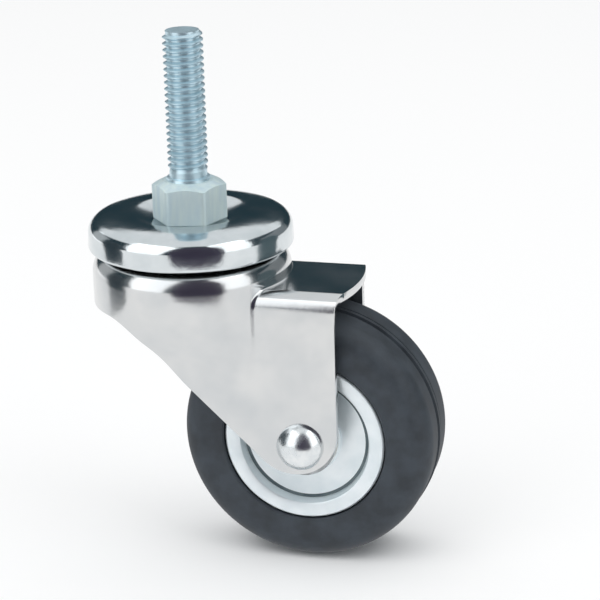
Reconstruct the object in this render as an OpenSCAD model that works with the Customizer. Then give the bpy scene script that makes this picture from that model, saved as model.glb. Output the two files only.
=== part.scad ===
// Swivel furniture castor with a threaded stem, a double ball race,
// a pressed sheet-steel fork and a rubber-tyred wheel on pressed steel discs.
// The origin is on the swivel axis, on the seat that meets the furniture.
// +Z runs up the stem, the wheel trails towards +X and its axle lies along Y.

/* [Overall] */
// Height from the floor to the seat
mount_h = 74; // [71:0.5:84]
// Trail: how far the axle lies behind the swivel axis
trail = 24.1; // [20:0.1:30]

/* [Stem] */
// Outer diameter of the stem's thread, a little under the nominal 8
stem_d = 7.8; // [7:0.1:10]
// Length of the stem above the seat
stem_len = 29; // [15:0.5:50]
// Diameter of the flat at the stem's free end
stem_tip_d = 6.6; // [5:0.1:6.8]
// Height of the chamfer at the stem's free end
stem_chamfer = 0.9; // [0.5:0.1:1.5]
// Hexagon across its flats
hex_af = 12.8; // [12:0.1:15]
// Height of the hexagon, whose top is the seat
hex_h = 8; // [6:0.5:12]
// How much smaller than the flats the round seat is, all round
hex_bevel = 0.5; // [0.2:0.1:0.8]
// Slope of the chamfer on the hexagon's corners, in degrees
hex_slope = 28; // [15:1:40]
// Turn of the hexagon about the stem, in degrees
hex_turn = 11; // [0:1:59]
// Diameter of the kingpin below the hexagon
kingpin_d = 9; // [7:0.1:10]
// Diameter of the kingpin's peened end
peen_d = 12.4; // [11:0.1:14]
// Height of the kingpin's peened end
peen_h = 1.8; // [1:0.1:2.4]

/* [Swivel head] */
// Outer diameter of the upper race cup
cup_d = 39.8; // [38:0.1:44]
// Wall of the upper race cup
cup_wall = 1.5; // [1.2:0.1:1.8]
// Radius of the cup's rolled rim
cup_round = 4.2; // [4:0.1:4.8]
// How deep the cup's middle lies below its rim
cup_dish = 1.6; // [0.6:0.1:2.4]
// Flat left round the hexagon in the cup's middle
cup_flat = 1; // [0.5:0.1:2]
// How far the rim curls below its widest point, in degrees
cup_curl = 35; // [20:1:45]
// Clearance between a ball and its race
race_clear = 0.1; // [0.05:0.01:0.2]
// Depth of each ball track in the crown and the lower race
track_depth = 0.35; // [0.2:0.05:0.5]
// Smallest gap between neighbouring balls
ball_gap = 0.1; // [0.05:0.05:0.5]
// Diameter of the lower balls
lower_ball_d = 4; // [3:0.1:4.4]
// Pitch diameter of the lower ball ring
lower_pitch_d = 19; // [18:0.1:21]
// Thickness of the lower race
lower_race_t = 1.8; // [1.4:0.1:2.2]
// Width of the lower race outside its balls
lower_lip = 1; // [0.5:0.1:2]

/* [Fork] */
// Sheet thickness of the fork
sheet = 1.5; // [1.2:0.1:1.8]
// Outer diameter of the drawn crown
crown_d = 38.8; // [38:0.1:44]
// Radius of the crown's shoulder
crown_round = 4.7; // [3.5:0.1:5]
// Height of the crown with its front skirt
skirt_h = 10.65; // [9.5:0.05:12]
// How far below the top of the crown its flare begins at the sides
flare_drop = 5.5; // [5.1:0.1:6.5]
// How far ahead of the swivel axis the flare gives way to the straight skirt
skirt_x = 13; // [12:0.1:13.6]
// How far below the skirt the crown's flare has run out into the legs
flare_h = 12; // [8:0.1:13]
// How far the bridge lies below the top of the crown
bridge_drop = 5.55; // [4.8:0.05:6]
// Clear width between the legs
leg_gap = 21; // [20.6:0.1:24]
// Outside radius of the folds between bridge and legs
fold_r = 3.2; // [2.4:0.1:3.6]
// Radius of the leg's foot
foot_r = 8.6; // [8:0.1:9.4]
// How far the foot reaches below the axle
foot_drop = 5.8; // [5:0.1:6.5]
// How far the foot reaches behind the axle
foot_back = 7.3; // [7:0.1:9]
// Lean of the leg's straight front edge from the horizontal, in degrees
edge_lean = 43.5; // [40:0.5:48]
// How far behind the swivel axis that straight edge begins
edge_x = 2; // [0:0.5:4]
// How far ahead of the swivel axis the skirt's level edge ends
lip_x = 12.9; // [11:0.1:15]
// Pull of the sweep between the two at the skirt
sweep_skirt = 7; // [4:0.5:9]
// Pull of the sweep between the two at the straight edge
sweep_edge = 9; // [5:0.5:11]
// How far the bridge's rear edge bows out behind the legs
rear_bow = 2.4; // [1:0.1:3]
// Free play round the kingpin in the crown's hole
kingpin_play = 1; // [0.5:0.1:1.5]

/* [Axle] */
// Diameter of the axle rivet
axle_d = 6; // [5:0.1:6.6]
// Diameter of the rivet's round heads
head_d = 8.6; // [8:0.1:10]
// Height of the rivet's round heads
head_h = 2.5; // [1.8:0.1:3]
// Wall of the sleeve that keeps the legs apart
sleeve_wall = 1; // [0.8:0.1:1.2]
// Thickness of the washers inside the legs
washer_t = 1; // [0.6:0.1:1.2]
// Diameter of the washers inside the legs
washer_d = 13; // [12:0.1:14]

/* [Wheel] */
// Diameter of the wheel
wheel_d = 50; // [46:0.5:54]
// Width of the tyre
tyre_w = 19; // [17:0.1:20]
// Radius of the tyre's shoulders
shoulder_r = 4.4; // [2:0.1:5]
// Height of the moulding seam round the tread
seam_h = 0.2; // [0.1:0.05:0.4]
// Width of the moulding seam round the tread
seam_w = 0.7; // [0.4:0.1:1.2]
// Diameter of the rubber ring's bore
tyre_bore = 19; // [17:0.5:21]
// Outer diameter of the rim discs
rim_d = 31.7; // [31:0.1:34]
// Gap between a rim disc's edge and the rubber
rim_clear = 0.1; // [0.05:0.05:0.3]
// How far the rim's flange lies below the tyre's side
rim_inset = 0.3; // [0:0.05:0.5]
// Sheet thickness of the rim discs
rim_sheet = 1.2; // [0.8:0.1:1.4]
// Chamfer on the rim disc's outer edge
rim_edge = 0.3; // [0.1:0.1:0.5]
// Inner diameter of the rim's flat flange
flange_d = 27; // [26:0.1:28]
// Diameter of the recessed web
web_d = 24.4; // [23:0.1:25]
// Depth of the web below the flange
recess = 2; // [1.5:0.1:2.2]
// Outer diameter of the hub tube
hub_d = 12; // [11.4:0.1:13]
// Thickness of the hub tube's flared ends
hub_flare_t = 0.8; // [0.5:0.1:1]
// How far the hub tube's ends are flared out over the discs
hub_flare = 1; // [0.8:0.1:2]
// Wall of the wheel's bushes
bush_wall = 0.9; // [0.6:0.05:1]
// Diameter of the bushes' flanges
bush_flange_d = 13; // [12:0.1:15]
// Gap between the two bushes in the middle of the hub
bush_gap = 0.1; // [0.1:0.1:2]
// Running clearance between bush and sleeve
run_clear = 0.05; // [0.02:0.01:0.1]
// Free play between a bush's flange and its washer
end_play = 0.3; // [0.2:0.05:0.5]

/* [Hidden] */
$fn = 96;

zinc = "#c9ced3";
bright = "#d9dcdf";
rubber = "#3f4047";
nylon = "#e6e4da";

// How far a cutting shape reaches past what it cuts, and a join that is too thin to see
cut = 1;
hair = 0.02;

// Swivel head, from the seat downwards
kingpin_r = kingpin_d / 2;
hex_r = hex_af / sqrt(3);
cup_z = -hex_h;
race_r = cup_d / 2 - cup_round;
race_z = cup_z + cup_dish - cup_round;
ball_r = cup_round - cup_wall - race_clear;
crown_z = race_z - ball_r - race_clear + track_depth;
lower_ball_r = lower_ball_d / 2;
lower_pitch_r = lower_pitch_d / 2;
lower_ball_z = crown_z - sheet + track_depth - lower_ball_r - race_clear;
lower_race_z = lower_ball_z - lower_ball_r - race_clear + track_depth;
peen_z = lower_race_z - lower_race_t;

// Fork
crown_r = crown_d / 2;
skirt_z = crown_z - skirt_h;
flare_z = crown_z - flare_drop;
bridge_z = crown_z - bridge_drop;
leg_in = leg_gap / 2;
leg_out = leg_in + sheet;
axle_z = wheel_d / 2 - mount_h;
foot_z = axle_z - foot_drop;
rear_x = trail + foot_back;

// Axle and wheel, measured from the wheel's middle plane
axle_r = axle_d / 2;
sleeve_r = axle_r + sleeve_wall;
washer_y = leg_in - washer_t;
flange_y = tyre_w / 2 - rim_inset;
flange_in_y = flange_y - rim_sheet;
web_y = flange_y - recess;
web_in_y = web_y - rim_sheet;
cone_slope = atan2(flange_d / 2 - web_d / 2, recess);
cone_step = rim_sheet * tan(cone_slope / 2);
hub_r = hub_d / 2;
hub_end_y = web_y + hub_flare_t;
bush_r = sleeve_r + run_clear + bush_wall;

// Points on an arc round a centre, from one angle to another
function arc(c, r, from, to, steps = 12) =
    [for (i = [0:steps]) let (a = from + (to - from) * i / steps) c + r * [cos(a), sin(a)]];

// Points on a cubic curve with two end points and two handles
function curve(a, b, c, d, steps = 14) =
    [for (i = [0:steps]) let (t = i / steps, s = 1 - t)
        s * s * s * a + 3 * s * s * t * b + 3 * s * t * t * c + t * t * t * d];

// Smooth rise from 0 to 1 while x goes from 0 to 1
function ease(x) = (1 - cos(180 * x)) / 2;

// The same outline on the other side of the wheel's middle plane
function across(points) = [for (p = points) [p[0], -p[1]]];

// The same outline run backwards
function reversed(points) = [for (i = [len(points) - 1:-1:0]) points[i]];

// Turns a profile drawn as [radius, y] round the axle
module about_axle() {
    translate([trail, 0, axle_z]) rotate([-90, 0, 0]) rotate_extrude() children();
}

// A washer or tube round the axle between two planes
module ring_on_axle(inner, outer, a, b) {
    about_axle() translate([inner, min(a, b)]) square([outer - inner, abs(b - a)]);
}

// A ring of balls round the swivel axis, as many as fit
module ball_ring(pitch, r, z) {
    count = floor(180 / asin((r + ball_gap / 2) / pitch));
    for (i = [0:count - 1])
        rotate(360 * i / count) translate([pitch, 0, z]) sphere(r = r, $fn = 48);
}

// The trough that a ring of balls runs in
module ball_track(pitch, r, z) {
    rotate_extrude() translate([pitch, z]) circle(r = r + race_clear, $fn = 48);
}

// One cold-headed piece: threaded stem, hexagon, kingpin and its peened end
module stem() {
    seat_r = hex_af / 2 - hex_bevel;
    rim_r = hex_r + cut;
    shank_top = stem_len - stem_chamfer;
    peen_flat_r = peen_d / 2 - peen_h;
    color(zinc) {
        translate([0, 0, cup_z]) cylinder(d = stem_d, h = shank_top - cup_z);
        translate([0, 0, shank_top]) cylinder(h = stem_chamfer, d1 = stem_d, d2 = stem_tip_d);
        intersection() {
            rotate(hex_turn) translate([0, 0, cup_z]) cylinder(r = hex_r, h = hex_h, $fn = 6);
            rotate_extrude()
                polygon([[0, cup_z - cut], [rim_r, cup_z - cut],
                         [rim_r, (seat_r - rim_r) * tan(hex_slope)], [seat_r, 0], [0, 0]]);
        }
        translate([0, 0, peen_z - peen_h / 2])
            cylinder(r = kingpin_r, h = cup_z - peen_z + peen_h / 2 + cut);
        rotate_extrude()
            polygon(concat([[0, peen_z - peen_h]],
                           arc([peen_flat_r, peen_z], peen_h, -90, 0, 8), [[0, peen_z]]));
    }
}

// Pressed cup: dished middle under the hexagon and a rolled rim over the balls
module upper_race_cup() {
    steps = 10;
    dish_r = hex_r + cup_flat;
    span = race_r - dish_r;
    slope = [for (i = [0:steps]) [dish_r + span * i / steps, cup_z + cup_dish * ease(i / steps)]];
    under = [for (p = slope) p - [0, cup_wall]];
    rim = [race_r, race_z];
    color(bright) rotate_extrude()
        polygon(concat([[kingpin_r, cup_z]], slope,
                       arc(rim, cup_round, 90, -cup_curl, 18),
                       arc(rim, cup_round - cup_wall, -cup_curl, 90, 18),
                       reversed(under), [[kingpin_r, cup_z - cup_wall]]));
}

// Upper balls, full complement inside the cup's rolled rim
module upper_balls() {
    color(bright) ball_ring(race_r, ball_r, race_z);
}

// Lower balls, full complement under the crown
module lower_balls() {
    color(bright) ball_ring(lower_pitch_r, lower_ball_r, lower_ball_z);
}

// Lower race: a thick washer that the kingpin's peened end holds up against the balls
module lower_race() {
    color(zinc) difference() {
        translate([0, 0, peen_z]) cylinder(r = lower_pitch_r + lower_ball_r + lower_lip, h = lower_race_t);
        translate([0, 0, peen_z - cut]) cylinder(r = kingpin_r, h = lower_race_t + 2 * cut);
        ball_track(lower_pitch_r, lower_ball_r, lower_ball_z);
    }
}

// The fork's drawn crown as a filled drum down to a level, shrunk by an inset
module crown(inset, low) {
    r = crown_r - inset;
    top = crown_z - inset;
    shoulder = crown_round - inset;
    rotate_extrude()
        polygon(concat([[0, low], [r, low]],
                       arc([r - shoulder, top - shoulder], shoulder, 0, 90, 16), [[0, top]]));
}

// The filled crown down to the skirt's level, only between two planes across X or Y
module deep_crown(inset, extra, from, to) {
    low = skirt_z - extra;
    intersection() {
        crown(inset, low);
        translate([from[0], from[1], low - cut])
            cube([to[0] - from[0], to[1] - from[1], skirt_h + extra + 2 * cut]);
    }
}

// The straight skirt ahead of the flare, as part of the filled crown
module skirt(inset, extra) {
    reach = crown_r + cut;
    deep_crown(inset, extra, [-reach, -reach], [-skirt_x, reach]);
}

// The bridge and the legs as a filled channel with rounded folds, shrunk by an inset
module channel(inset, from_x, to_x) {
    half = leg_out - inset;
    top = bridge_z - inset;
    fold = fold_r - inset;
    low = foot_z - cut;
    translate([from_x, 0, 0]) rotate([90, 0, 90]) linear_extrude(to_x - from_x) {
        translate([-half, low]) square([2 * half, top - fold - low]);
        translate([fold - half, top - fold]) square([2 * (half - fold), fold]);
        for (side = [-1, 1]) translate([side * (half - fold), top - fold]) circle(r = fold);
    }
}

// The flare that carries the round crown into one flat leg, shrunk by an inset
module flare(side, inset) {
    root = leg_out - inset - sheet / 2;
    r = crown_r - inset - hair;
    half_chord = sqrt(r * r - root * root);
    hull() {
        for (rim = [[flare_z, r], [skirt_z, -skirt_x]])
            translate([0, 0, rim[0]]) linear_extrude(hair) intersection() {
                circle(r = r, $fn = 120);
                translate([-r, side > 0 ? root : -root - r]) square([r + rim[1], r]);
            }
        translate([-half_chord, side * root - hair / 2, skirt_z - flare_h])
            cube([2 * half_chord, hair, hair]);
    }
}

// Side view of the trimmed fork: skirt, swept front edge, foot and rear edge
module fork_side() {
    foot = [rear_x - foot_r, foot_z + foot_r];
    toe = foot - foot_r * [sin(edge_lean), cos(edge_lean)];
    along = [-cos(edge_lean), sin(edge_lean)];
    edge = toe + (toe[0] - edge_x) / cos(edge_lean) * along;
    lip = [-lip_x, skirt_z];
    front = -crown_r - cut;
    back = rear_x + rear_bow;
    top = crown_z + cut;
    polygon(concat([[front, top], [front, skirt_z]],
                   curve(lip, lip + [sweep_skirt, 0], edge + sweep_edge * along, edge),
                   arc(foot, foot_r, 270 - edge_lean, 360, 20),
                   [[rear_x, bridge_z - fold_r], [back, bridge_z - sheet], [back, top]]));
}

// Trims the bridge's rear edge to a bow
module rear_cut() {
    bow_r = (leg_out * leg_out + rear_bow * rear_bow) / (2 * rear_bow);
    low = bridge_z - fold_r;
    difference() {
        translate([rear_x - cut, -leg_out - cut, low])
            cube([rear_bow + 2 * cut, 2 * (leg_out + cut), fold_r + cut]);
        translate([rear_x + rear_bow - bow_r, 0, low - cut]) cylinder(r = bow_r, h = fold_r + 3 * cut);
    }
}

// One pressing: crown, bridge and two swept legs of the same sheet
module fork() {
    inner_r = crown_r - sheet;
    channel_x = -sqrt(inner_r * inner_r - leg_out * leg_out);
    back = rear_x + rear_bow + cut;
    reach = crown_r + cut;
    color(zinc) difference() {
        intersection() {
            union() {
                crown(0, flare_z);
                skirt(0, 0);
                channel(0, channel_x + cut, back);
                for (side = [-1, 1]) flare(side, 0);
            }
            rotate([90, 0, 0]) translate([0, 0, -reach]) linear_extrude(2 * reach) fork_side();
        }
        crown(sheet, flare_z);
        skirt(sheet, cut);
        deep_crown(sheet, cut, [-reach, -leg_in], [reach, leg_in]);
        channel(sheet, channel_x, back + cut);
        for (side = [-1, 1]) flare(side, sheet);
        rear_cut();
        translate([0, 0, crown_z - sheet - cut]) cylinder(r = kingpin_r + kingpin_play, h = sheet + 2 * cut);
        ball_track(race_r, ball_r, race_z);
        ball_track(lower_pitch_r, lower_ball_r, lower_ball_z);
        translate([trail, 0, axle_z]) rotate([90, 0, 0]) cylinder(r = axle_r, h = 2 * reach, center = true);
    }
}

// Solid rivet with a round head outside each leg
module axle_rivet() {
    head_r = head_d / 2;
    dome_r = (head_r * head_r + head_h * head_h) / (2 * head_h);
    spread = asin(head_r / dome_r);
    dome = arc([0, leg_out + head_h - dome_r], dome_r, 90 - spread, 90);
    half = concat([[axle_r, leg_out]], dome);
    color(bright) about_axle() polygon(concat(half, reversed(across(half))));
}

// Sleeve that the riveted legs clamp, and that the wheel turns on
module axle_sleeve() {
    color(zinc) ring_on_axle(axle_r, sleeve_r, -leg_in, leg_in);
}

// Washer on the sleeve's end, against the leg
module washer(side) {
    color(zinc) ring_on_axle(sleeve_r, washer_d / 2, side * washer_y, side * leg_in);
}

// Pressed disc: flat flange on the tyre's side, a cone and a recessed web
module rim_disc(side) {
    r = rim_d / 2;
    outside = [[hub_r, web_y], [web_d / 2, web_y], [flange_d / 2, flange_y],
               [r - rim_edge, flange_y], [r, flange_y - rim_edge]];
    inside = [[r, flange_in_y], [flange_d / 2 + cone_step, flange_in_y],
              [web_d / 2 + cone_step, web_in_y], [hub_r, web_in_y]];
    outline = concat(outside, inside);
    color(zinc) about_axle() polygon(side > 0 ? outline : across(outline));
}

// Solid rubber ring with rounded shoulders and a moulding seam round its tread
module tyre() {
    tread_r = wheel_d / 2 - seam_h;
    half = tyre_w / 2;
    seat_r = rim_d / 2 + rim_clear;
    shoulder = arc([tread_r - shoulder_r, half - shoulder_r], shoulder_r, 90, 0, 10);
    side = concat([[tyre_bore / 2, web_in_y], [web_d / 2 + cone_step, web_in_y],
                   [flange_d / 2 + cone_step, flange_in_y], [seat_r, flange_in_y], [seat_r, half]],
                  shoulder, [[tread_r, seam_w / 2], [wheel_d / 2, seam_w / 4]]);
    color(rubber) about_axle() polygon(concat(side, reversed(across(side))));
}

// Steel tube whose ends are flared over the two discs and hold the wheel together
module hub_tube() {
    flare_r = hub_r + hub_flare;
    half = [[bush_r, hub_end_y], [flare_r, hub_end_y], [flare_r, web_y], [hub_r, web_y]];
    color(zinc) about_axle() polygon(concat(half, reversed(across(half))));
}

// Flanged bush pressed into one end of the hub tube, running on the sleeve
module bush(side) {
    bore = sleeve_r + run_clear;
    flange_r = bush_flange_d / 2;
    end_y = washer_y - end_play;
    outline = [[bore, bush_gap / 2], [bush_r, bush_gap / 2], [bush_r, hub_end_y],
               [flange_r, hub_end_y], [flange_r, end_y], [bore, end_y]];
    color(nylon) about_axle() polygon(side > 0 ? outline : across(outline));
}

stem();
upper_race_cup();
upper_balls();
fork();
lower_balls();
lower_race();
axle_rivet();
axle_sleeve();
washer(-1);  // washer_left
washer(1);  // washer_right
tyre();
rim_disc(-1);  // rim_disc_left
rim_disc(1);  // rim_disc_right
hub_tube();
bush(-1);  // bush_left
bush(1);  // bush_right
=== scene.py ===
import math

import bmesh
import bpy
import numpy as np
from mathutils import Matrix, Vector


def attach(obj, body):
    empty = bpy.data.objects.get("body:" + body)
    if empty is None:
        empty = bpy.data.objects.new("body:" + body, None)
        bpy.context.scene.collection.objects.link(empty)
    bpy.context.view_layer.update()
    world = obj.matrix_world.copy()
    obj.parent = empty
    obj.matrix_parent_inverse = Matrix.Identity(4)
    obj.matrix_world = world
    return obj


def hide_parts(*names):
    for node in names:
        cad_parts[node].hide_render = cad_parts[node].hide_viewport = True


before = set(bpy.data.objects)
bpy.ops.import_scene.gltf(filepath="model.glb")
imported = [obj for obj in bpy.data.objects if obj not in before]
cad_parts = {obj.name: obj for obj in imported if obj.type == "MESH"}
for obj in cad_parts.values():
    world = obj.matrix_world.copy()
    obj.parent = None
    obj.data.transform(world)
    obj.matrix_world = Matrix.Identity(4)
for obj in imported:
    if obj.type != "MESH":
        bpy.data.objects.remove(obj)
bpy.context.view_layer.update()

# Stem
# One cold-headed steel piece, zinc plated: a coarse 8 mm thread rolled on it, a spanner hexagon, and below
# that the kingpin, whose end is peened over the lower race once the head is stacked on it.
MM = 0.001
stem_top = 29.0
thread_pitch = 1.25
root_flat = 0.25
crest_flat = 0.125
crest_r = 3.88
root_r = 3.22
tip_r = 3.2
tip_chamfer = 0.8
thread_start = 1.5
run_out = 1.5
neck_r = 3.64
collar_r = 4.25
collar_h = 0.5
collar_taper = 0.1
collar_fillet = 0.15
seat_r = 4.9
hex_apothem = 6.4
hex_corner_r = hex_apothem / math.cos(math.radians(30))
hex_turn = 11.0
hex_slope = math.tan(math.radians(27))
hex_foot = 0.35
hex_corner_round = 0.5
cup_seat_z = -8.0
kingpin_r = 4.5
peen_z = -19.75
peen_h = 1.8
peen_r = 6.2
weld = 0.002
slack = 0.05


def arc(centre, r, start, end, steps):
    """Points on an arc in a profile plane, from one angle to another in degrees."""
    angles = [math.radians(start + (end - start) * i / steps) for i in range(steps + 1)]
    return [(centre[0] + r * math.cos(a), centre[1] + r * math.sin(a)) for a in angles]


def ring_up(bm, edges, radius, height):
    """Extrudes a ring of edges to a radius and a height in mm, either of which may follow the angle."""
    new = bmesh.ops.extrude_edge_only(bm, edges=edges)["geom"]
    for v in (g for g in new if isinstance(g, bmesh.types.BMVert)):
        angle = math.atan2(v.co.y, v.co.x)
        r = radius(angle) if callable(radius) else radius
        z = height(angle) if callable(height) else height
        v.co = Vector((r * math.cos(angle), r * math.sin(angle), z)) * MM
    return [g for g in new if isinstance(g, bmesh.types.BMEdge)]


def hex_r(angle):
    """Radius of the hexagon's outline at an angle."""
    from_flat = (math.degrees(angle) - hex_turn) % 60 - 30
    return hex_apothem / math.cos(math.radians(from_flat))


def finished(name, bm, sharp=35):
    """Makes an object of the mesh, smooth except across edges sharper than an angle in degrees."""
    mesh = bpy.data.meshes.new(name)
    bmesh.ops.recalc_face_normals(bm, faces=bm.faces)
    bm.to_mesh(mesh)
    bm.free()
    mesh.shade_smooth()
    mesh.set_sharp_from_angle(angle=math.radians(sharp))
    obj = bpy.data.objects.new(name, mesh)
    bpy.context.scene.collection.objects.link(obj)
    return obj


def linear(code):
    """An sRGB hex colour as linear red, green, blue and alpha."""
    parts = [int(code[i:i + 2], 16) / 255 for i in (1, 3, 5)]
    return [p / 12.92 if p <= 0.04045 else ((p + 0.055) / 1.055) ** 2.4 for p in parts] + [1.0]


def add(tree, kind, inputs=None, **settings):
    """Adds a node, sets its options, and sets or links its inputs."""
    node = tree.nodes.new(kind)
    for name, value in settings.items():
        setattr(node, name, value)
    for name, value in (inputs or {}).items():
        if isinstance(value, bpy.types.NodeSocket):
            tree.links.new(value, node.inputs[name])
        else:
            node.inputs[name].default_value = value
    return node


def plated(name, colours, gloss, cloud, grain, relief, bare=1.0, drawn=1.0):
    """Plated metal with a metallic share bare, and clouds and a grain in mm, drawn out along the stem."""
    surface = bpy.data.materials.new(name)
    surface.use_nodes = True
    tree = surface.node_tree
    metal = tree.nodes["Principled BSDF"]
    place = add(tree, "ShaderNodeTexCoord").outputs["Object"]
    place = add(tree, "ShaderNodeMapping", {"Vector": place, "Scale": (1, 1, 1 / drawn)}).outputs[0]
    clouds = add(tree, "ShaderNodeTexNoise", {"Vector": place, "Scale": 1 / (cloud * MM), "Detail": 3.0})
    spread = {"Value": clouds.outputs["Fac"], "From Min": 0.3, "From Max": 0.7}
    tone = add(tree, "ShaderNodeMapRange", spread)
    tints = {0: tone.outputs["Result"], 6: linear(colours[0]), 7: linear(colours[1])}
    colour = add(tree, "ShaderNodeMix", tints, data_type="RGBA")
    dull = add(tree, "ShaderNodeMapRange", spread | {"To Min": gloss[0], "To Max": gloss[1]})
    fine = add(tree, "ShaderNodeTexNoise", {"Vector": place, "Scale": 1 / (grain * MM), "Detail": 2.0})
    bump = add(tree, "ShaderNodeBump",
               {"Height": fine.outputs["Fac"], "Strength": 1.0, "Distance": relief * MM})
    tree.links.new(colour.outputs[2], metal.inputs["Base Color"])
    tree.links.new(dull.outputs["Result"], metal.inputs["Roughness"])
    tree.links.new(bump.outputs["Normal"], metal.inputs["Normal"])
    metal.inputs["Metallic"].default_value = bare
    return surface


stem_bm = bmesh.new()
turn_steps = 48
thread_turns = math.ceil(stem_top / thread_pitch) + 1
flank = (1 - root_flat - crest_flat) / 2
tooth = [(root_r, 0.0), (root_r, root_flat), (crest_r, root_flat + flank), (crest_r, 1 - flank),
         (root_r, 1.0)]
points = [stem_bm.verts.new((r * MM, 0, share * thread_pitch * MM)) for r, share in tooth]
chain = [stem_bm.edges.new(pair) for pair in zip(points, points[1:])]
bmesh.ops.spin(stem_bm, geom=points + chain, cent=(0, 0, 0), axis=(0, 0, 1),
               dvec=(0, 0, thread_pitch * MM / turn_steps), angle=math.tau * thread_turns,
               steps=turn_steps * thread_turns, use_merge=False, use_duplicate=False)
bmesh.ops.remove_doubles(stem_bm, verts=stem_bm.verts, dist=weld * MM)
for z, side in ((thread_start, -1), (stem_top, 1)):
    bmesh.ops.bisect_plane(stem_bm, geom=stem_bm.verts[:] + stem_bm.edges[:] + stem_bm.faces[:],
                           plane_co=(0, 0, z * MM), plane_no=(0, 0, side), clear_outer=True)
for v in stem_bm.verts:
    r = math.hypot(v.co.x, v.co.y) / MM
    rise = min(1.0, max(0.0, (v.co.z / MM - thread_start) / run_out))
    faded_r = neck_r + (r - neck_r) * rise * rise * (3 - 2 * rise)
    cone_r = tip_r + max(0.0, stem_top - v.co.z / MM) * (crest_r - tip_r) / tip_chamfer
    v.co.xy *= min(faded_r, cone_r) / r
rims = [e for e in stem_bm.edges if e.is_boundary]
top_rim = [e for e in rims if all(v.co.z > (stem_top - slack) * MM for v in e.verts)]
neck_rim = [e for e in rims if e not in top_rim]
bmesh.ops.edgeloop_fill(stem_bm, edges=top_rim)
start = bmesh.ops.create_circle(stem_bm, segments=72, radius=(peen_r - peen_h) * MM, cap_ends=False,
                                matrix=Matrix.Translation((0, 0, (peen_z - peen_h) * MM))
                                @ Matrix.Rotation(math.radians(hex_turn), 4, "Z"))["verts"]
ring = list({e for v in start for e in v.link_edges})
bmesh.ops.edgeloop_fill(stem_bm, edges=ring)
peened_end = arc((peen_r - peen_h, peen_z), peen_h, -80, 0, 6)
for r, z in peened_end + [(kingpin_r, peen_z), (kingpin_r, cup_seat_z)]:
    ring = ring_up(stem_bm, ring, r, z)
ring = ring_up(stem_bm, ring, lambda a: hex_r(a) - hex_foot, cup_seat_z)
ring = ring_up(stem_bm, ring, hex_r, cup_seat_z + hex_foot)
ring = ring_up(stem_bm, ring, hex_r, lambda a: (seat_r - hex_r(a)) * hex_slope)
for r, z in ((seat_r, 0.0), (collar_r, 0.0), (collar_r - collar_taper, collar_h),
             (neck_r, collar_h + collar_fillet), (neck_r, thread_start)):
    ring = ring_up(stem_bm, ring, r, z)
bmesh.ops.bridge_loops(stem_bm, edges=ring + neck_rim)
bmesh.ops.remove_doubles(stem_bm, verts=stem_bm.verts, dist=weld * MM)
corners = [e for e in stem_bm.edges
           if all(math.hypot(v.co.x, v.co.y) > (hex_corner_r - slack) * MM for v in e.verts)]
bmesh.ops.bevel(stem_bm, geom=corners, offset=hex_corner_round * MM, segments=4, profile=0.5,
                affect="EDGES", material=-1)
stem = finished("threaded_stem", stem_bm, sharp=25)
# Zinc plate with a blue passivated film on a rolled thread: a soft bluish sheen with no sharp mirror image.
stem.data.materials.append(plated("zinc_plated_rolled_thread", ("#d8edf6", "#bfd8e2"), (0.32, 0.46),
                                  3, 0.25, 0.012, bare=0.8))
# The same plate over the skin that cold heading leaves: pale greenish grey, frosted, with upright die marks.
stem.data.materials.append(plated("zinc_plated_headed_hexagon", ("#dcebe9", "#cadde4"), (0.42, 0.56),
                                  1.8, 0.35, 0.02, bare=0.4, drawn=5))
for face in stem.data.polygons:
    on_hexagon = cup_seat_z - slack < face.center.z / MM < slack
    if on_hexagon and math.hypot(*face.center.xy) > (collar_r + slack) * MM:
        face.material_index = 1
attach(stem, "stem")
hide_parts("stem")

# Upper race cup
# A cup pressed from bright plated sheet, clamped under the hexagon, which sits in a round dimple. The rim is
# drawn over the upper balls and ends in a rolled lip.
cup_r = 19.9
cup_wall = 1.5
cup_flat_r = 7.5
cup_crest_r = 12.2
cup_crest_z = -6.3
cup_dimple = 23
cup_crown = 14
cup_edge = 2.9
cup_lip_z = -12.3
cup_lip_out = 0.05
race_r = 15.7
race_z = -10.6
race_bend = 2.7


def turned(name, profile, centre=(0, 0, 0), axis=(0, 0, 1), steps=144, sharp=35):
    """Turns a closed profile of (radius, distance along the axis) in mm once round an axis."""
    bm = bmesh.new()
    along = Vector(axis)
    out = along.orthogonal().normalized()
    hub = Vector(centre)
    ring = [bm.verts.new((hub + out * r + along * d) * MM) for r, d in profile]
    edges = [bm.edges.new((a, b)) for a, b in zip(ring, ring[1:] + ring[:1])]
    bmesh.ops.spin(bm, geom=ring + edges, cent=hub * MM, axis=axis, angle=math.tau, steps=steps,
                   use_merge=True, use_duplicate=False)
    bmesh.ops.remove_doubles(bm, verts=bm.verts, dist=weld * MM)
    return finished(name, bm, sharp)


dimple_slope = math.tan(math.radians(cup_dimple))
dimple_bend = ((cup_crest_r - cup_flat_r) * dimple_slope - (cup_crest_z - cup_seat_z)) / (
    dimple_slope * math.sin(math.radians(cup_dimple)) - (1 - math.cos(math.radians(cup_dimple))))
dimple = [(cup_flat_r, cup_seat_z)]
dimple += arc((cup_crest_r, cup_crest_z - dimple_bend), dimple_bend, 90 + cup_dimple, 90, 12)
crown_lean = math.radians(cup_crown)
crown_end = cup_r - cup_edge * (1 - math.sin(crown_lean))
crown_bend = (crown_end - cup_crest_r) / math.sin(crown_lean)
edge_mid_z = cup_crest_z - crown_bend * (1 - math.cos(crown_lean)) - cup_edge * math.cos(crown_lean)
cup_rim = arc((cup_crest_r, cup_crest_z - crown_bend), crown_bend, 90, 90 - cup_crown, 12)[1:]
cup_rim += arc((cup_r - cup_edge, edge_mid_z), cup_edge, 90 - cup_crown, 0, 28)[1:]
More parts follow.
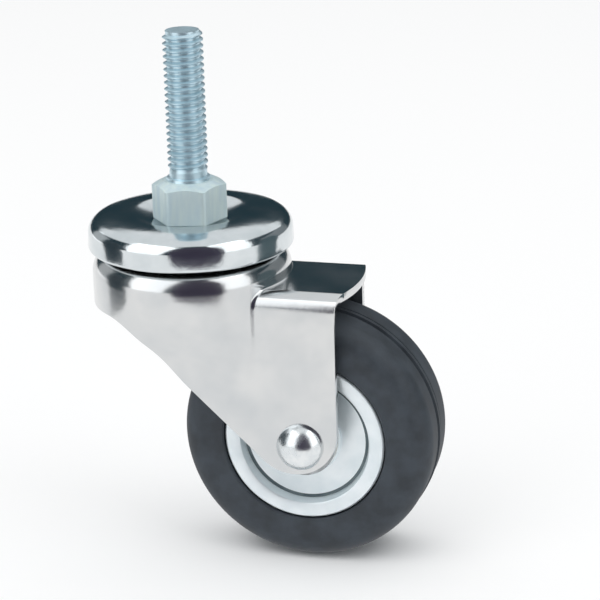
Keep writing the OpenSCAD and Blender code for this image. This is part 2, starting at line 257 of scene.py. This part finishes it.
cup_outline = ([(kingpin_r, cup_seat_z)] + dimple + cup_rim
               + arc((cup_r + cup_lip_out - cup_wall / 2, cup_lip_z), cup_wall / 2, 0, -180, 12)
               + arc((race_r, race_z), race_bend, 0, 90, 16)
               + [(r, z - cup_wall) for r, z in reversed(dimple)] + [(kingpin_r, cup_seat_z - cup_wall)])
cup = turned("rolled_race_cup", cup_outline, steps=180)
# Bright zinc on smooth drawn steel: a mirror that is slightly uneven, so reflected edges waver.
cup.data.materials.append(plated("bright_zinc_drawn_cup", ("#dfe4e6", "#d0d7da"), (0.1, 0.18), 5, 1.0, 0.014))
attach(cup, "stem")
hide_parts("upper_race_cup")

# Balls
# Hardened steel balls, a full ring above the crown and another below it, packed in dark grease.
# Their colour is darkened further as painted shade for the gap under the cup, where they only glint.
lower_pitch_r = 9.5
lower_ball_r = 2.0
lower_ball_z = -16.2
race_play = 0.1
# Bearing steel under old grease: dark grey, partly from the grease and partly as painted shade in the gap,
# with a wet gloss.
ball_grease_and_shade = plated("greased_bearing_steel", ("#4c4d4c", "#333434"), (0.2, 0.36), 2.5, 0.3, 0.006)
for name, pitch_r, z, ball_r, count in (("upper_balls", race_r, race_z, race_bend - race_play, 18),
                                        ("lower_balls", lower_pitch_r, lower_ball_z, lower_ball_r, 14)):
    balls_bm = bmesh.new()
    for i in range(count):
        place = Matrix.Rotation(math.tau * i / count, 4, "Z") @ Matrix.Translation((pitch_r * MM, 0, z * MM))
        bmesh.ops.create_icosphere(balls_bm, subdivisions=3, radius=ball_r * MM, matrix=place)
    balls = finished("greased_" + name, balls_bm)
    balls.data.materials.append(ball_grease_and_shade)
    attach(balls, "fork")
    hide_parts(name)

# Lower race
# A thick steel washer with a turned ball track, held up against the lower balls by the kingpin's peened end.
race_t = 1.8
race_out_r = 12.5
race_edge = 0.25
race_top = peen_z + race_t
track = math.degrees(math.asin((lower_ball_z - race_top) / (lower_ball_r + race_play)))
race_outline = [(kingpin_r, race_top)]
race_outline += arc((lower_pitch_r, lower_ball_z), lower_ball_r + race_play, 180 + track, 360 - track, 10)
race_outline += [(race_out_r - race_edge, race_top), (race_out_r, race_top - race_edge)]
race_outline += [(race_out_r, peen_z + race_edge), (race_out_r - race_edge, peen_z), (kingpin_r, peen_z)]
race = turned("turned_lower_race", race_outline, steps=96)
# Plain turned steel with a film of oil: mid grey, half bright.
oiled = plated("oiled_turned_steel", ("#b4b8ba", "#8d9294"), (0.2, 0.36), 2.5, 0.3, 0.006)
race.data.materials.append(oiled)
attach(race, "stem")
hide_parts("lower_race")

# Fork
# One pressing of bright zinc-plated sheet: a drawn crown, a bridge folded down into two legs, and a flare
# that carries the round crown into the flat legs. The edges are blanked and the holes pierced.
sheet = 1.5
crown_r = 19.4
crown_round = 4.7
crown_z = -12.95
skirt_z = -23.6
skirt_x = -13.0
skirt_blend = 10.0
skirt_lap = 1.0
flare_z = -18.45
flare_end_z = -35.6
bridge_z = -18.5
leg_out = 12.0
fold_r = 3.2
fold_y = leg_out - fold_r
fold_z = bridge_z - fold_r
hole_r = kingpin_r + 1.0
axle_x = 24.1
axle_z = -49.0
axle_r = 3.0
foot_r = 8.6
foot = (22.8, -46.2)
rear_x = 31.4
rear_bow = 2.4
edge_lean = math.radians(43.5)
edge_x = 2.0
lip_x = -12.9
sweep_lip = 7.0
sweep_edge = 9.0
channel_front = -5.0
flare_ease = 0.25
fade_from = 0.5
fade_to = 1.1
hollow_tight = 0.6
hollow_wide = 3.0
crease_end = 9.0
crease_gone = 17.0
crease_near = 1.0
crease_far = 5.0
reach = 30.0
edge_round = 0.16
valley_x = math.sqrt(crown_r ** 2 - leg_out ** 2)


def eased(low, high, value):
    """Rises smoothly from 0 to 1 while a value goes from low to high."""
    t = np.clip((value - low) / (high - low), 0, 1)
    return t * t * (3 - 2 * t)


def rounded_corner(out, up, r):
    """Distance to a shape with one rounded corner, from how far out and up a point is from its centre."""
    return np.hypot(np.maximum(out, 0), np.maximum(up, 0)) + np.minimum(np.maximum(out, up), 0) - r


def fork_side(x, y, z):
    """Below 0 inside the pressing's filled outer shape: crown, flare and channel joined by hollows."""
    # A hollow is tight in the crease under the bridge and wide away from it. The flare fades into the leg.
    away = np.maximum(eased(bridge_z - crease_end, bridge_z - crease_gone, z),
                      eased(valley_x - crease_near, valley_x - crease_far, x))
    hollow = hollow_tight + (hollow_wide - hollow_tight) * away
    begin = flare_z + (skirt_z - flare_z) * eased(skirt_x + skirt_blend, skirt_x - skirt_lap, x)
    drop = np.maximum(begin - z, 0) / (begin - flare_end_z)
    flare = np.where(drop < flare_ease, drop * drop / (2 * flare_ease), drop - flare_ease / 2)
    flare = np.minimum(flare, 1)
    wide = np.maximum(np.abs(x) - flare * valley_x, 0)
    deep = np.maximum(y - flare * leg_out, 0)
    crown = rounded_corner(np.hypot(wide, deep) - (1 - flare) * crown_r + crown_round,
                           z - crown_z + crown_round, crown_round)
    crown = crown + hollow_wide * eased(fade_from, fade_to, drop)
    channel = np.maximum(rounded_corner(y - fold_y, z - fold_z, fold_r), channel_front - x)
    near = np.maximum(hollow - np.abs(crown - channel), 0)
    return np.minimum(crown, channel) - near * near / (4 * hollow)


# The blanked edge in side view: the level skirt, a sweep down to the straight front edge, and the round foot.
toe = np.array(foot) - foot_r * np.array((math.sin(edge_lean), math.cos(edge_lean)))
up_edge = np.array((-math.cos(edge_lean), math.sin(edge_lean)))
knee = toe + (toe[0] - edge_x) / math.cos(edge_lean) * up_edge
lip = np.array((lip_x, skirt_z))
handles = [lip, lip + np.array((sweep_lip, 0)), knee + sweep_edge * up_edge, knee]
trim = [(-crown_r - 1, skirt_z)]
t = np.linspace(0, 1, 40)[:, None]
trim += list(np.hstack([(1 - t) ** 3, 3 * (1 - t) ** 2 * t, 3 * (1 - t) * t * t, t ** 3]) @ np.array(handles))
trim += arc(foot, foot_r, 270 - math.degrees(edge_lean), 360, 60)
trim_x, trim_z = np.array(trim).T

# Lanes of the sheet, from the crown's hole to the blanked edge: straight out in front, and behind the kingpin
# down the leg at leg_x, where a lane crosses the bridge in a bow like the crown's. The crown's wall meets the
# leg at valley_x, where the lanes lie closest.
crown_bow = crown_r - valley_x
hole_x = hole_r / (1 + crown_bow / valley_x)
valley_span = 1.6
valley_crowd = 1.6
valley_lanes = [valley_x + valley_span * math.copysign(abs(u) ** valley_crowd, u)
                for u in np.linspace(-1, 1, 25)]
front_turns = np.linspace(math.pi, math.pi / 2, 52, endpoint=False)
leg_lanes = [hole_x * math.sin(a) for a in np.linspace(0, math.pi / 2, 14, endpoint=False)]
leg_lanes += list(np.linspace(hole_x, valley_lanes[0], 28, endpoint=False)) + valley_lanes
leg_lanes += list(np.linspace(valley_lanes[-1], foot[0], 20)[1:-1])
leg_lanes += [foot[0] + foot_r * math.sin(a) for a in np.linspace(0, math.pi / 2, 26)]
turn = np.append(front_turns, np.full(len(leg_lanes), math.pi / 2))[:, None]
leg_x = np.append(np.zeros(len(front_turns)), leg_lanes)[:, None]
past_valley = (leg_x - valley_x) / (rear_x - valley_x)
bow_share = np.where(leg_x < valley_x, leg_x / valley_x, 1 + (rear_bow / crown_bow - 1) * past_valley)


def lane_x(q):
    """How far behind the kingpin each lane lies, at a distance q sideways or, in front, outwards."""
    bow = np.sqrt(crown_r ** 2 - np.minimum(q, leg_out) ** 2) - valley_x
    return q * np.cos(turn) + leg_x + bow_share * bow


def from_axle(point):
    """How far a point lies from the axle's line, in mm."""
    return math.hypot(point.x / MM - axle_x, point.z / MM - axle_z)


def halved(inside, far):
    """The greatest distance up to far at which a test still says inside, for every point at once."""
    near = np.zeros_like(far)
    for _ in range(40):
        mid = (near + far) / 2
        held = inside(mid)
        near, far = np.where(held, mid, near), np.where(held, far, mid)
    return near


def on_sheet(s, edge_z):
    """Points on the outer face, with s 0 at a lane's start, 1 above the fold, 2 beside it and 3 at edge_z."""
    tilt = math.pi / 2 * np.clip(2 - s, 0, 1)
    from_q = lane_start + (fold_y - lane_start) * np.minimum(s, 1)
    from_z = fold_z + (edge_z - fold_z) * np.maximum(s - 2, 0)

    def point(d):
        """Where each point lies at a distance d from its start inside the sheet."""
        q = from_q + d * np.cos(tilt)
        return lane_x(q), q * np.sin(turn), from_z + d * np.sin(tilt)

    far = np.full(np.broadcast(s, turn).shape, reach)
    return np.stack(point(halved(lambda d: fork_side(*point(d)) < 0, far)), axis=-1)


lane_start = halved(lambda q: np.hypot(lane_x(q), q) < hole_r, np.full(turn.shape, hole_r))
edge_z = np.interp(lane_x(np.where(leg_x > 0, leg_out, crown_r)), trim_x, trim_z)
for _ in range(12):
    edge_z = np.interp(on_sheet(np.full(turn.shape, 3.0), edge_z)[..., 0], trim_x, trim_z)
rows = 120
bend_rows = 2.0
bend_most = 0.2
samples = np.linspace(0, 3, 601)
path = on_sheet(np.tile(samples, (len(turn), 1)), edge_z)
step = np.diff(path, axis=1)
length = np.linalg.norm(step, axis=2)
heading = step / np.maximum(length, 1e-9)[..., None]
bend = np.arccos(np.clip((heading[:, 1:] * heading[:, :-1]).sum(axis=2), -1, 1))
length[:, 1:] += bend_rows * np.minimum(bend, bend_most)
travel = np.pad(np.cumsum(length, axis=1), ((0, 0), (1, 0)))
even = np.array([np.interp(np.linspace(0, t[-1], rows), t, samples) for t in travel])
lanes = on_sheet(even, edge_z)

fork_bm = bmesh.new()
for side in (-1, 1):
    cells = bmesh.ops.create_grid(fork_bm, x_segments=len(turn) - 1, y_segments=rows - 1, size=0.5)["verts"]
    for v in cells:
        x, y, z = lanes[round((v.co.x + 0.5) * (len(turn) - 1)), round((v.co.y + 0.5) * (rows - 1))]
        v.co = Vector((x, side * y, z)) * MM
bmesh.ops.remove_doubles(fork_bm, verts=fork_bm.verts, dist=weld * MM)
pierced = [v for v in fork_bm.verts if from_axle(v.co) < axle_r]
bmesh.ops.delete(fork_bm, geom=pierced, context="VERTS")
hole_band = 1.0
for v in fork_bm.verts:
    out = from_axle(v.co)
    if v.is_boundary and out < axle_r + hole_band:
        v.co.x = (axle_x + (v.co.x / MM - axle_x) * axle_r / out) * MM
        v.co.z = (axle_z + (v.co.z / MM - axle_z) * axle_r / out) * MM
fork = finished("pressed_fork", fork_bm, sharp=50)
wall = fork.modifiers.new("sheet", "SOLIDIFY")
wall.thickness = sheet * MM
wall.offset = -1
edge = fork.modifiers.new("blanked_edge", "BEVEL")
edge.width = edge_round * MM
edge.segments = 2
edge.limit_method = "ANGLE"
edge.angle_limit = math.radians(60)
# Bright zinc on drawn sheet: a soft mirror, clouded where the sheet was worked, with a faint rolled grain.
fork.data.materials.append(plated("bright_zinc_drawn_sheet", ("#dcdddd", "#cfd2d4"), (0.14, 0.21),
                                  9, 0.8, 0.006))
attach(fork, "fork")
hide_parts("fork")

# Axle rivet
# A solid steel rivet through both legs and the sleeve, with a round head set on each end.
axle = (axle_x, 0, axle_z)
across = (0, 1, 0)
head_r = 4.5
head_h = 2.6
head_rim = 0.7
dome_r = (head_r ** 2 + head_h ** 2) / (2 * head_h)
dome_spread = math.degrees(math.asin(head_r / dome_r))


def both_ends(half):
    """A profile on one side of the wheel's middle plane, and its mirror image on the other."""
    return half + [(r, -d) for r, d in reversed(half)]


dome = arc((0, leg_out + head_rim + head_h - dome_r), dome_r, 90, 90 - dome_spread, 18)
rivet_outline = [(max(r, 0.0), d) for r, d in dome] + [(head_r, leg_out), (axle_r, leg_out)]
rivet = turned("axle_rivet_heads", both_ends(rivet_outline), axle, across, steps=96)
# Zinc plate on a head that was hammered round: bright, but with a soft and slightly dented gloss.
rivet.data.materials.append(plated("zinc_plated_set_rivet", ("#eaedee", "#dbe1e4"), (0.2, 0.32),
                                   2, 0.6, 0.012))
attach(rivet, "fork")
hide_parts("axle_rivet")

# Sleeve and washers
# A steel tube that the riveted legs clamp and the wheel turns on, with a washer on each end against the leg.
leg_in = leg_out - sheet
sleeve_r = 4.0
washer_r = 6.5
washer_t = 1.0
washer_edge = 0.15
sleeve = turned("axle_sleeve_tube", both_ends([(axle_r, leg_in), (sleeve_r, leg_in)]), axle, across, steps=64)
sleeve.data.materials.append(oiled)
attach(sleeve, "fork")
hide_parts("axle_sleeve")
washer_outline = [(sleeve_r, leg_in - washer_t), (washer_r - washer_edge, leg_in - washer_t),
                  (washer_r, leg_in - washer_t + washer_edge), (washer_r, leg_in - washer_edge),
                  (washer_r - washer_edge, leg_in), (sleeve_r, leg_in)]
for name, side in (("washer_left", -1), ("washer_right", 1)):
    washer = turned("stamped_" + name, [(r, side * d) for r, d in washer_outline], axle, across, steps=96)
    washer.data.materials.append(oiled)
    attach(washer, "fork")
    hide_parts(name)

# Tyre
# A solid ring of dark grey rubber moulded round the discs, with round shoulders. The mould's parting line
# stands as a fine seam between two grooves round the middle of the tread.
wheel_r = 25.0
tyre_half = 9.5
tyre_bore_r = 9.5
shoulder_r = 4.4
seam_h = 0.2
groove_h = 0.5
tread_r = wheel_r - seam_h
groove_r = tread_r - groove_h
seam_half = 0.45
groove_in = 0.65
groove_out = 1.15
groove_lip = 1.4
bed_in = 13.4
bed_out = 14.6
seat_round = 0.3
rim_seat_r = 16.15
flange_y = 9.2
web_y = 7.2
rim_t = 1.2
shoulder = arc((tread_r - shoulder_r, tyre_half - shoulder_r), shoulder_r, 90, 0, 20)
tyre_outline = [(tyre_bore_r, web_y - rim_t), (bed_in, web_y - rim_t), (bed_out, flange_y - rim_t),
                (rim_seat_r, flange_y - rim_t), (rim_seat_r, tyre_half - seat_round),
                (rim_seat_r + seat_round, tyre_half)]
tyre_outline += shoulder
tyre_outline += [(tread_r, groove_lip), (groove_r, groove_out), (groove_r, groove_in), (wheel_r, seam_half)]
tyre = turned("moulded_tyre", both_ends(tyre_outline), axle, across, steps=180, sharp=40)
# Filled rubber straight from the mould: charcoal with a dusty bloom and fine pores, hardly any gloss.
rubber = bpy.data.materials.new("moulded_grey_rubber")
rubber.use_nodes = True
tree = rubber.node_tree
skin = tree.nodes["Principled BSDF"]
place = add(tree, "ShaderNodeTexCoord").outputs["Object"]
bloom = add(tree, "ShaderNodeTexNoise", {"Vector": place, "Scale": 1 / (4 * MM), "Detail": 5.0})
dusty = add(tree, "ShaderNodeMapRange", {"Value": bloom.outputs["Fac"], "From Min": 0.35, "From Max": 0.65})
tints = {0: dusty.outputs["Result"], 6: linear("#2d333a"), 7: linear("#3d444c")}
colour = add(tree, "ShaderNodeMix", tints, data_type="RGBA")
dull = add(tree, "ShaderNodeMapRange", {"Value": bloom.outputs["Fac"], "To Min": 0.5, "To Max": 0.72})
pores = add(tree, "ShaderNodeTexNoise", {"Vector": place, "Scale": 1 / (0.35 * MM), "Detail": 2.0})
bump = add(tree, "ShaderNodeBump", {"Height": pores.outputs["Fac"], "Strength": 1.0, "Distance": 0.02 * MM})
tree.links.new(colour.outputs[2], skin.inputs["Base Color"])
tree.links.new(dull.outputs["Result"], skin.inputs["Roughness"])
tree.links.new(bump.outputs["Normal"], skin.inputs["Normal"])
tyre.data.materials.append(rubber)
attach(tyre, "wheel")
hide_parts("tyre")

# Rim discs
# Two steel discs pressed with a flat flange, a cone and a recessed web, zinc plated and held by the hub tube.
rim_r = 15.85
rim_edge = 0.3
hub_r = 6.0
foot_in = 11.8
foot_out = 12.4
foot_rise = 0.2
step_r = 12.95
step_round = 0.15
flange_in = 13.3
back_out = 14.4
back_in = 13.3
disc_outline = [(hub_r, web_y), (foot_in, web_y), (foot_out, web_y + foot_rise),
                (step_r, flange_y - step_round), (flange_in, flange_y),
                (rim_r - rim_edge, flange_y), (rim_r, flange_y - rim_edge), (rim_r, flange_y - rim_t),
                (back_out, flange_y - rim_t), (back_in, web_y - rim_t), (hub_r, web_y - rim_t)]
# Blue-passivated zinc on pressed sheet: bluish white and satin, with faint clouds.
rim_zinc = plated("zinc_plated_pressed_disc", ("#f4fafd", "#e6eff3"), (0.3, 0.42), 5, 0.3, 0.008, bare=0.6)
# The same plate in the tight bend at the web's edge, painted dark grey as the shade that lies in the bend: a
# painted shade line.
painted_shade_zinc = plated("zinc_plated_bend_painted_shade", ("#6d7a7e", "#556368"), (0.4, 0.55), 4, 0.3, 0.008, bare=0.6)
for name, side in (("rim_disc_left", -1), ("rim_disc_right", 1)):
    rim = turned("pressed_" + name, [(r, side * d) for r, d in disc_outline], axle, across, sharp=30)
    rim.data.materials.append(rim_zinc)
    rim.data.materials.append(painted_shade_zinc)
    # Faces in the bend at the web's edge take the painted shade.
    for face in rim.data.polygons:
        if foot_in < from_axle(face.center) < foot_out:
            face.material_index = 1
    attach(rim, "wheel")
    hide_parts(name)

# Hub tube and bushes
# A steel tube whose ends are flared over the two discs, with a flanged bush of natural nylon in each end.
hub_flare_r = 7.0
hub_end_y = 8.0
bush_r = 4.95
bush_bore_r = 4.05
bush_flange_r = 6.5
bush_end_y = 9.2
bush_edge = 0.2
bush_gap = 0.05
hub_edge = 0.3
hub_outline = [(bush_r, hub_end_y), (hub_flare_r - hub_edge, hub_end_y), (hub_flare_r, hub_end_y - hub_edge),
               (hub_flare_r, web_y), (hub_r, web_y)]
hub = turned("flared_hub_tube", both_ends(hub_outline), axle, across, steps=96)
hub.data.materials.append(rim_zinc)
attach(hub, "wheel")
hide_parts("hub_tube")
bush_outline = [(bush_bore_r, bush_gap), (bush_r, bush_gap), (bush_r, hub_end_y), (bush_flange_r, hub_end_y),
                (bush_flange_r, bush_end_y - bush_edge), (bush_flange_r - bush_edge, bush_end_y),
                (bush_bore_r, bush_end_y)]
# Undyed nylon from a smooth mould: milky white with a waxy gloss and a faint haze.
nylon = bpy.data.materials.new("moulded_natural_nylon")
nylon.use_nodes = True
tree = nylon.node_tree
body = tree.nodes["Principled BSDF"]
place = add(tree, "ShaderNodeTexCoord").outputs["Object"]
haze = add(tree, "ShaderNodeTexNoise", {"Vector": place, "Scale": 1 / (3 * MM), "Detail": 3.0})
tints = {0: haze.outputs["Fac"], 6: linear("#dfe0dc"), 7: linear("#cdcfcc")}
colour = add(tree, "ShaderNodeMix", tints, data_type="RGBA")
tree.links.new(colour.outputs[2], body.inputs["Base Color"])
body.inputs["Roughness"].default_value = 0.45
for name, side in (("bush_left", -1), ("bush_right", 1)):
    bush = turned("flanged_" + name, [(r, side * d) for r, d in bush_outline], axle, across, steps=96)
    bush.data.materials.append(nylon)
    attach(bush, "wheel")
    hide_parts(name)

# Floor and light
# A white table that runs out of the picture on every side, in a dim studio: two tall softboxes in front,
# a wide one overhead and weak cards at the sides. Dark flags stand where the photo's mirror images are dark.
floor_z = -74.0
table_half = 4.0
glow_share = 0.72
mirror_share = 0.93
shade_reach = 0.1
shade_power = 2.0
floor_bm = bmesh.new()
bmesh.ops.create_grid(floor_bm, x_segments=1, y_segments=1, size=table_half,
                      matrix=Matrix.Translation((0, 0, floor_z * MM)))
floor = finished("white_table", floor_bm)
# Matt white laminate: plain white to the camera and in mirrors, fading to a soft shadow round the castor.
white = bpy.data.materials.new("white_table_laminate")
white.use_nodes = True
tree = white.node_tree
sheen = tree.nodes["Principled BSDF"]
sheen.inputs["Base Color"].default_value = linear("#fdfdfd")
sheen.inputs["Roughness"].default_value = 0.9
sheen.inputs["Specular IOR Level"].default_value = 0.0
ray = add(tree, "ShaderNodeLightPath")
open_sky = add(tree, "ShaderNodeAmbientOcclusion", {"Distance": shade_reach}, samples=16)
open_sky = add(tree, "ShaderNodeMath", {0: open_sky.outputs["AO"], 1: shade_power}, operation="POWER")
share = add(tree, "ShaderNodeMath", {0: ray.outputs["Is Camera Ray"], 1: open_sky.outputs[0]},
            operation="MULTIPLY")
share = add(tree, "ShaderNodeMath", {0: share.outputs[0], 1: glow_share}, operation="MULTIPLY")
for kind in ("Is Glossy Ray", "Is Transmission Ray"):
    share = add(tree, "ShaderNodeMath", {0: ray.outputs[kind], 1: mirror_share, 2: share.outputs[0]},
                operation="MULTIPLY_ADD", use_clamp=True)
glow = add(tree, "ShaderNodeEmission", {"Color": (1, 1, 1, 1), "Strength": 1.0})
mixed = add(tree, "ShaderNodeMixShader", {0: share.outputs[0], 1: sheen.outputs[0], 2: glow.outputs[0]})
tree.links.new(mixed.outputs[0], tree.nodes["Material Output"].inputs["Surface"])
floor.data.materials.append(white)

room = bpy.data.worlds.new("dim_studio")
bpy.context.scene.world = room
room.use_nodes = True
room.node_tree.nodes["Background"].inputs["Color"].default_value = linear("#253840")
aim = Vector((0.0, 0.0, -0.02))


def facing(azimuth, elevation):
    """Direction from the castor to a lamp, with azimuth from -Y towards +X, in degrees."""
    a, e = math.radians(azimuth), math.radians(elevation)
    return Vector((math.sin(a) * math.cos(e), -math.cos(a) * math.cos(e), math.sin(e)))


def softbox(name, azimuth, elevation, distance, size, level, mirrored=True):
    """A softbox of a size in metres that faces the castor, as bright as a white of that level."""
    lamp = bpy.data.lights.new(name, "AREA")
    lamp.shape = "RECTANGLE"
    lamp.size, lamp.size_y = size
    lamp.energy = level * math.pi * size[0] * size[1]
    obj = bpy.data.objects.new(name, lamp)
    obj.location = aim + facing(azimuth, elevation) * distance
    obj.rotation_euler = facing(azimuth, elevation).to_track_quat("Z", "Y").to_euler()
    obj.visible_camera = False
    obj.visible_glossy = mirrored
    bpy.context.scene.collection.objects.link(obj)


softbox("softbox_left", -36, 30, 0.8, (0.68, 0.95), 1.5)
softbox("softbox_right", 70, 30, 0.8, (0.52, 0.95), 1.45)
softbox("softbox_top", 196, 74, 0.8, (1.9, 1.56), 0.82)
softbox("card_left", -108, 12, 0.8, (0.36, 0.45), 0.45)
softbox("card_right", 130, 14, 0.8, (0.70, 0.40), 0.2)
softbox("fill_top", 0, 90, 1.3, (2.5, 2.5), 0.45, mirrored=False)

# The flags are dark cloth in an arch. Only mirrors see them: the camera's stand, and a flag on each side.
flag_distance = 0.165
arch = 1.0
foot_corner = 0.2
for name, azimuth, half_width, top, tint in (("camera_stand", 23, 0.092, 0.200, "#413a4d"),
                                             ("flag_left", -75, 0.043, 0.062, "#2f3d45"),
                                             ("flag_right", 108, 0.045, 0.048, "#55656a")):
    cloth = bpy.data.materials.new(name + "_cloth")
    cloth.use_nodes = True
    weave = cloth.node_tree.nodes["Principled BSDF"]
    weave.inputs["Base Color"].default_value = linear(tint)
    weave.inputs["Roughness"].default_value = 0.9
    flag_bm = bmesh.new()
    bmesh.ops.create_circle(flag_bm, segments=48, radius=1.0, cap_ends=True)
    way = facing(azimuth, 0)
    half_height = (top - floor_z * MM) / 2
    middle = way * flag_distance + Vector((0, 0, top - half_height))
    for v in flag_bm.verts:
        corner = arch if v.co.y > 0 else foot_corner
        x, y = (math.copysign(abs(c) ** corner, c) for c in v.co.xy)
        v.co = way.to_track_quat("Z", "Y") @ Vector((x * half_width, y * half_height, 0)) + middle
    flag = finished(name, flag_bm)
    flag.data.materials.append(cloth)
    flag.visible_camera = False
    flag.visible_shadow = False
    flag.visible_diffuse = False

# Camera
# At the photograph's viewing angle: a long lens a little above the castor, with a slight roll.
eye_at = Vector((130.5, -388.32, 111.94))
view_azimuth = 15.67
view_elevation = 18.55
view_roll = -1.62
camera = bpy.data.cameras.new("camera")
camera.sensor_width = 36.0
camera.lens = 132.0
camera.clip_start = 0.01
eye = bpy.data.objects.new("camera", camera)
level = facing(view_azimuth, view_elevation).to_track_quat("Z", "Y").to_matrix().to_4x4()
eye.matrix_world = Matrix.Translation(eye_at * MM) @ level @ Matrix.Rotation(math.radians(view_roll), 4, "Z")
bpy.context.scene.collection.objects.link(eye)
bpy.context.scene.camera = eye
bpy.context.scene.view_settings.view_transform = "Standard"
